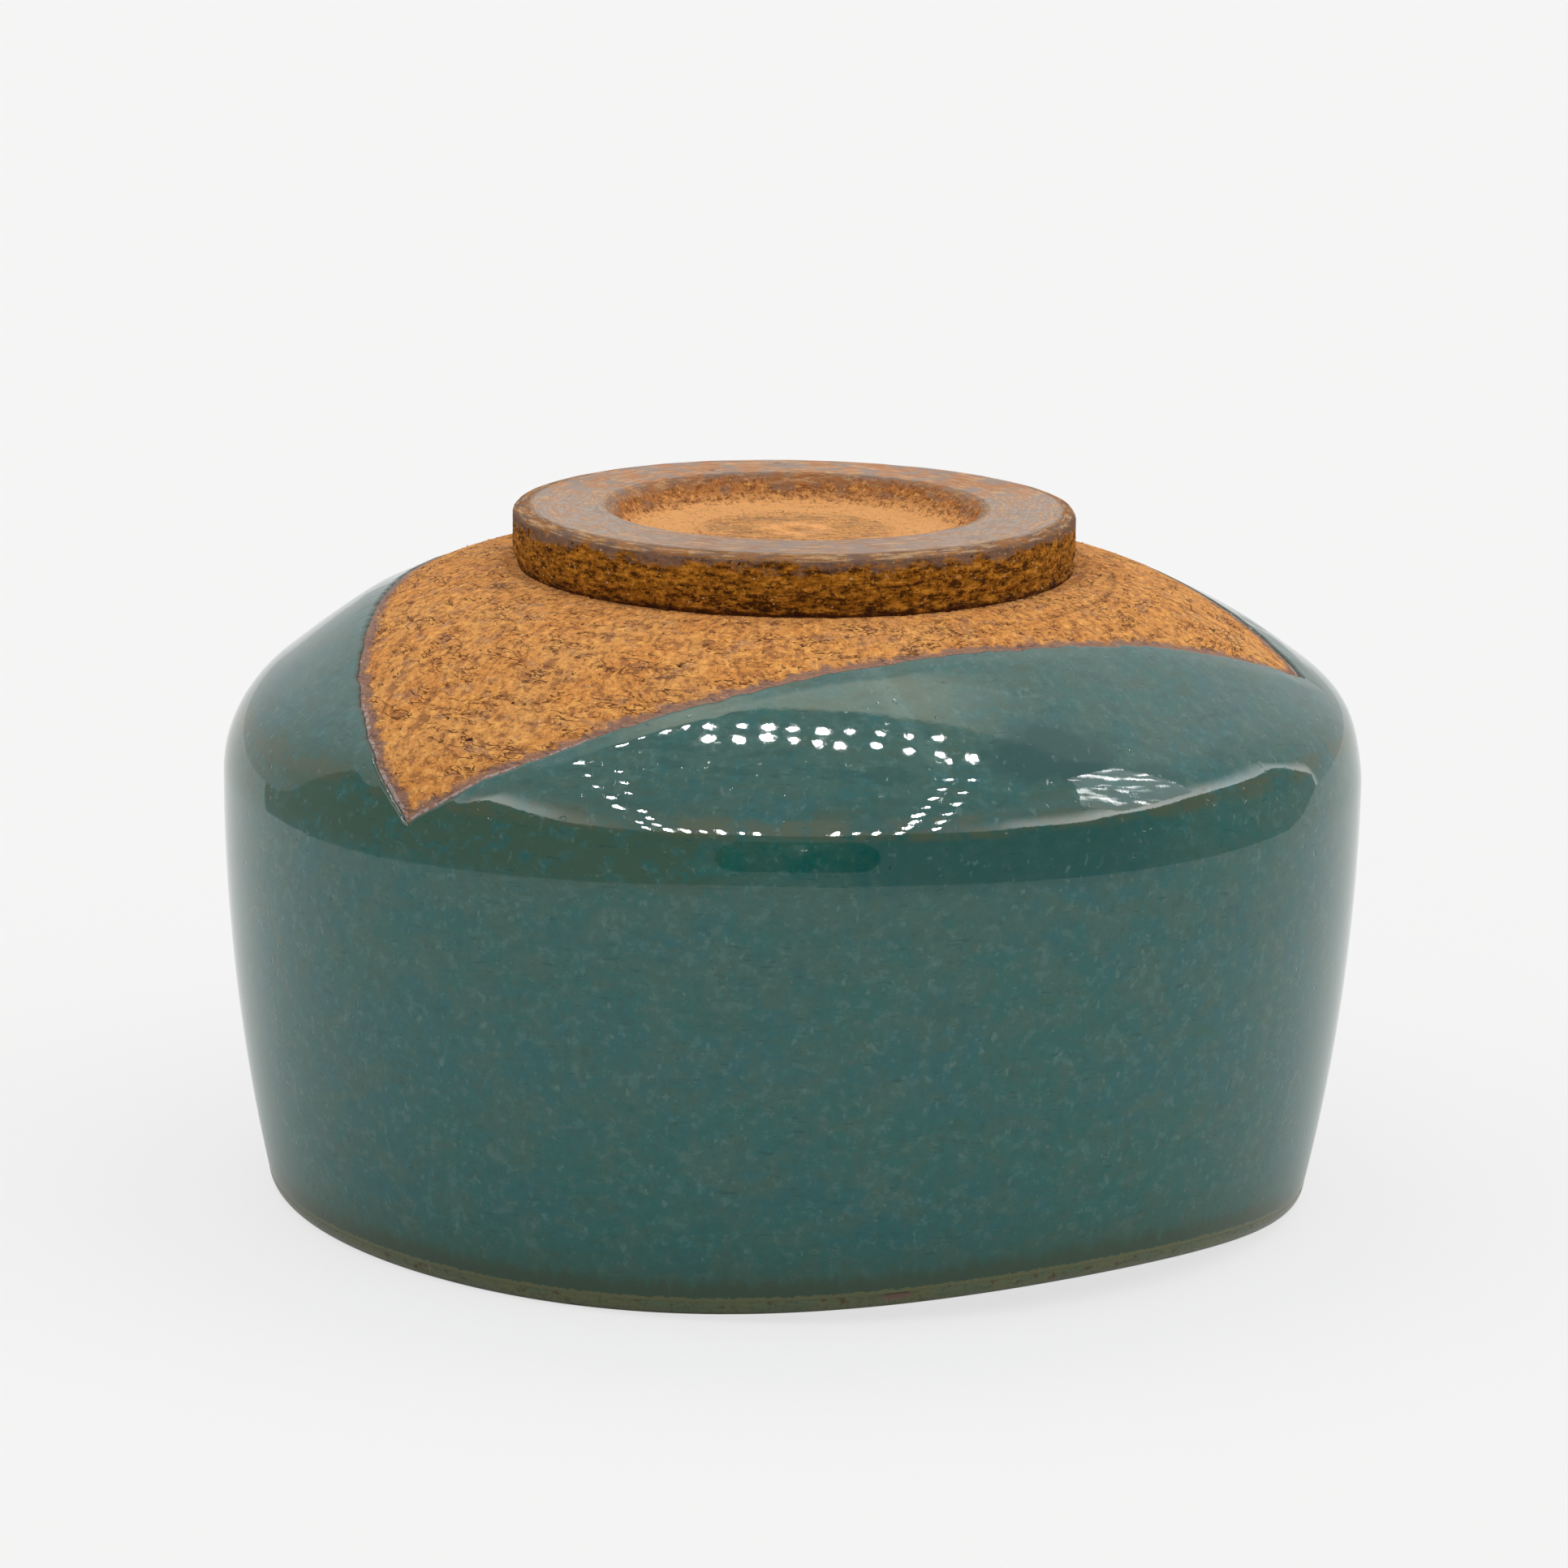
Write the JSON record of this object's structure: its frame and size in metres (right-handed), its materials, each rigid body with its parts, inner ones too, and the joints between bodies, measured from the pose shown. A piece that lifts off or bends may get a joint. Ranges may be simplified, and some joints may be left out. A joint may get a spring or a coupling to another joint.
{
  "type": "tea bowl",
  "caption": "Wheel-thrown stoneware bowl standing mouth down on its lip, with a turned foot, a patch of bare clay round it, and gloss glaze laid on in dips.",
  "frame": {"origin": "centre of the circle that the lip stands on, mouth down", "axes": "+Z along the throwing axis, from the mouth to the foot; +Y away from the side where the bare clay shows widest at the left"},
  "size_m": [0.12, 0.12, 0.0727],
  "materials": {
    "clay": "fired stoneware, bare, coarse and matt",
    "turned_foot": "fired stoneware, bare, torn on its side, smooth on its face",
    "first_dip": "gloss blue-green glaze",
    "second_dip": "gloss blue-green glaze",
    "third_dip": "gloss blue-green glaze",
    "inside": "gloss blue-green glaze",
    "lip": "gloss glaze, thin and olive-brown"
  },
  "bodies": {
    "root": {"clay_body": "clay", "foot_ring": "turned_foot", "first_dip_glaze": "first_dip", "second_dip_glaze": "second_dip", "third_dip_glaze": "third_dip", "inside_glaze": "inside", "lip_glaze": "lip"}
  },
  "joints": []
}
